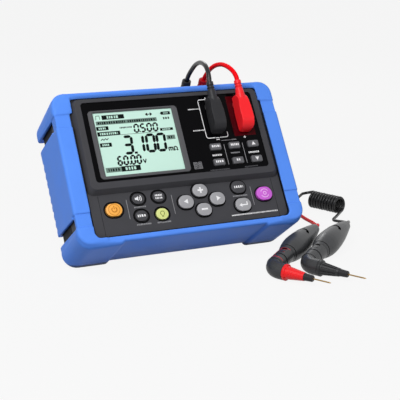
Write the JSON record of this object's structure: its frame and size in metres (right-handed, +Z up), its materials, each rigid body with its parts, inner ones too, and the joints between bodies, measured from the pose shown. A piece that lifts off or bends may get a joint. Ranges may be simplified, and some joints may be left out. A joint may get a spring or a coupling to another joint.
{
  "type": "battery analyzer",
  "caption": "Bench battery analyzer in a soft protective boot, leaning on its fold-out stand, with display, keypad, plugged-in test leads and bent contact probes.",
  "frame": {"origin": "on the table, in the middle of the tester's footprint, leads left out of the count", "axes": "+X to the right seen from the front, +Y away from the user, +Z up; the face leans back 56 degrees from the table"},
  "size_m": [0.3028, 0.3421, 0.1586],
  "materials": {
    "boot": "soft moulded elastomer, satin",
    "case_front": "fine texture, dark grey",
    "case_rear": "fine texture, dark grey",
    "panel": "glossy black sheet",
    "bezel": "satin grey",
    "display": "pale reflective display",
    "light": "white light guide",
    "board": "green laminate",
    "mat": "silicone",
    "insulator": "moulded",
    "black_jack": "moulded",
    "red_jack": "moulded",
    "contact": "plated",
    "steel": "zinc plated",
    "cells": "wrapped cells",
    "spring_steel": "nickel plated",
    "stand": "fine texture",
    "orange_key": "moulded",
    "dark_key": "moulded",
    "lime_key": "moulded",
    "silver_key": "moulded",
    "pink_key": "moulded",
    "grey_key": "moulded",
    "plug_dark": "soft moulded",
    "plug_bright": "soft moulded",
    "cable_black": "satin jacket",
    "cable_red": "satin jacket",
    "grip": "satin",
    "nose_bright": "glossy",
    "tip": "gold plated"
  },
  "bodies": {
    "tester": {"protector_boot": "boot", "front_case": "case_front", "rear_case": "case_rear", "window_panel": "panel", "display_bezel": "bezel", "display_glass": "display", "backlight": "light", "main_board": "board", "key_mat": "mat", "terminal_block": "insulator", "jacks_black": "black_jack", "jacks_red": "red_jack", "jack_contacts": "contact", "battery_cover": "case_rear", "case_screws": "steel", "battery_cells": "cells", "battery_contacts": "spring_steel", "buzzer": "insulator", "stand_pin": "steel", "plug_black": "plug_dark", "plug_red": "plug_bright", "plug_pins": "contact", "short_cord_black": "cable_black", "short_cord_red": "cable_red", "cable_joint": "cable_black", "main_cable": "cable_black", "cable_coil": "cable_black", "cable_split": "cable_black", "cord_red": "cable_red", "cord_black": "cable_black", "curly_cord": "cable_black", "cord_tail": "cable_black", "grip_red": "grip", "grip_black": "grip", "neck_red": "grip", "neck_black": "grip", "nose_red": "nose_bright", "nose_black": "insulator", "nose_caps": "insulator"},
    "key_power_body": {"key_power": "orange_key"},
    "key_speaker_body": {"key_speaker": "dark_key"},
    "key_setup_body": {"key_setup": "dark_key"},
    "key_compare_body": {"key_compare": "dark_key"},
    "key_lamp_body": {"key_lamp": "lime_key"},
    "key_up_body": {"key_up": "silver_key"},
    "key_left_body": {"key_left": "silver_key"},
    "key_right_body": {"key_right": "silver_key"},
    "key_down_body": {"key_down": "silver_key"},
    "key_memory_body": {"key_memory": "grey_key"},
    "key_enter_body": {"key_enter": "silver_key"},
    "key_view_body": {"key_view": "pink_key"},
    "key_store_body": {"key_store": "silver_key"},
    "key_table_body": {"key_table": "silver_key"},
    "key_range_up_body": {"key_range_up": "silver_key"},
    "key_recall_body": {"key_recall": "silver_key"},
    "key_auto_body": {"key_auto": "silver_key"},
    "key_range_down_body": {"key_range_down": "silver_key"},
    "stand": {"tilt_stand": "stand"},
    "tip_red_body": {"tip_red": "tip"},
    "tip_black_body": {"tip_black": "tip"}
  },
  "joints": [
    {"name": "key_power_press", "type": "slide", "parent": "tester", "child": "key_power_body", "axis": [0, 0.829, -0.5592], "range_m": [0, 0.0008], "stiffness_N_per_m": 1500, "springref_m": -0.0005},
    {"name": "key_speaker_press", "type": "slide", "parent": "tester", "child": "key_speaker_body", "axis": [0, 0.829, -0.5592], "range_m": [0, 0.0008], "stiffness_N_per_m": 1500, "springref_m": -0.0005},
    {"name": "key_setup_press", "type": "slide", "parent": "tester", "child": "key_setup_body", "axis": [0, 0.829, -0.5592], "range_m": [0, 0.0008], "stiffness_N_per_m": 1500, "springref_m": -0.0005},
    {"name": "key_compare_press", "type": "slide", "parent": "tester", "child": "key_compare_body", "axis": [0, 0.829, -0.5592], "range_m": [0, 0.0008], "stiffness_N_per_m": 1500, "springref_m": -0.0005},
    {"name": "key_lamp_press", "type": "slide", "parent": "tester", "child": "key_lamp_body", "axis": [0, 0.829, -0.5592], "range_m": [0, 0.0008], "stiffness_N_per_m": 1500, "springref_m": -0.0005},
    {"name": "key_up_press", "type": "slide", "parent": "tester", "child": "key_up_body", "axis": [0, 0.829, -0.5592], "range_m": [0, 0.0008], "stiffness_N_per_m": 1500, "springref_m": -0.0005},
    {"name": "key_left_press", "type": "slide", "parent": "tester", "child": "key_left_body", "axis": [0, 0.829, -0.5592], "range_m": [0, 0.0008], "stiffness_N_per_m": 1500, "springref_m": -0.0005},
    {"name": "key_right_press", "type": "slide", "parent": "tester", "child": "key_right_body", "axis": [0, 0.829, -0.5592], "range_m": [0, 0.0008], "stiffness_N_per_m": 1500, "springref_m": -0.0005},
    {"name": "key_down_press", "type": "slide", "parent": "tester", "child": "key_down_body", "axis": [0, 0.829, -0.5592], "range_m": [0, 0.0008], "stiffness_N_per_m": 1500, "springref_m": -0.0005},
    {"name": "key_memory_press", "type": "slide", "parent": "tester", "child": "key_memory_body", "axis": [0, 0.829, -0.5592], "range_m": [0, 0.0008], "stiffness_N_per_m": 1500, "springref_m": -0.0005},
    {"name": "key_enter_press", "type": "slide", "parent": "tester", "child": "key_enter_body", "axis": [0, 0.829, -0.5592], "range_m": [0, 0.0008], "stiffness_N_per_m": 1500, "springref_m": -0.0005},
    {"name": "key_view_press", "type": "slide", "parent": "tester", "child": "key_view_body", "axis": [0, 0.829, -0.5592], "range_m": [0, 0.0008], "stiffness_N_per_m": 1500, "springref_m": -0.0005},
    {"name": "key_store_press", "type": "slide", "parent": "tester", "child": "key_store_body", "axis": [0, 0.829, -0.5592], "range_m": [0, 0.0008], "stiffness_N_per_m": 1500, "springref_m": -0.0005},
    {"name": "key_table_press", "type": "slide", "parent": "tester", "child": "key_table_body", "axis": [0, 0.829, -0.5592], "range_m": [0, 0.0008], "stiffness_N_per_m": 1500, "springref_m": -0.0005},
    {"name": "key_range_up_press", "type": "slide", "parent": "tester", "child": "key_range_up_body", "axis": [0, 0.829, -0.5592], "range_m": [0, 0.0008], "stiffness_N_per_m": 1500, "springref_m": -0.0005},
    {"name": "key_recall_press", "type": "slide", "parent": "tester", "child": "key_recall_body", "axis": [0, 0.829, -0.5592], "range_m": [0, 0.0008], "stiffness_N_per_m": 1500, "springref_m": -0.0005},
    {"name": "key_auto_press", "type": "slide", "parent": "tester", "child": "key_auto_body", "axis": [0, 0.829, -0.5592], "range_m": [0, 0.0008], "stiffness_N_per_m": 1500, "springref_m": -0.0005},
    {"name": "key_range_down_press", "type": "slide", "parent": "tester", "child": "key_range_down_body", "axis": [0, 0.829, -0.5592], "range_m": [0, 0.0008], "stiffness_N_per_m": 1500, "springref_m": -0.0005},
    {"name": "stand_fold", "type": "hinge", "parent": "tester", "child": "stand", "pos_m": [0, 0.03542, 0.08761], "axis": [1, 0, 0], "range_deg": [-46.3, 0]},
    {"name": "tip_red_press", "type": "slide", "parent": "tester", "child": "tip_red_body", "axis": [-0.4928, 0.8701, 0.0127], "range_m": [0, 0.0025], "stiffness_N_per_m": 400, "springref_m": -0.002},
    {"name": "tip_black_press", "type": "slide", "parent": "tester", "child": "tip_black_body", "axis": [-0.4928, 0.8701, 0.0127], "range_m": [0, 0.0025], "stiffness_N_per_m": 400, "springref_m": -0.002}
  ]
}
